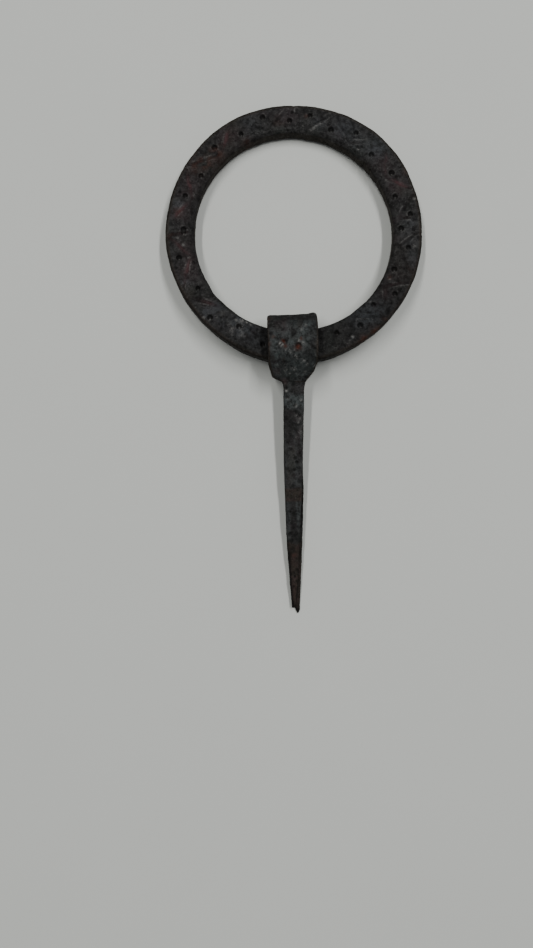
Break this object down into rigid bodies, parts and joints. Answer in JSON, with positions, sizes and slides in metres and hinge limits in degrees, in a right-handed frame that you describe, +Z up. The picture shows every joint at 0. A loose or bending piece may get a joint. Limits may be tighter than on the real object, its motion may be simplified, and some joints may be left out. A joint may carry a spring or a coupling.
{
  "type": "ring-headed pricking iron",
  "caption": "Forged iron ring with punched marks, hinged in the wide folded eye of a tapering split spike.",
  "frame": {"origin": "under the middle of the whole iron, on the surface it lies on", "axes": "+Y from the spike's point to the ring, +X to the right seen from above, +Z up off the surface"},
  "size_m": [0.108, 0.217, 0.0207],
  "materials": {
    "ring_iron": "hand-forged, dark brown-black patina, red rust in the punch marks and cut lines, worn edges",
    "spike_iron": "hand-forged, grey-green patina on the eye, mottled grey shank, rust-brown point"
  },
  "bodies": {
    "spike": {"split_spike": "spike_iron"},
    "ring": {"ring": "ring_iron"}
  },
  "joints": [
    {"name": "ring_swing", "type": "hinge", "parent": "spike", "child": "ring", "pos_m": [-0.00003, 0.00459, 0.01035], "axis": [1, 0, 0], "range_deg": [-168, 184]}
  ]
}
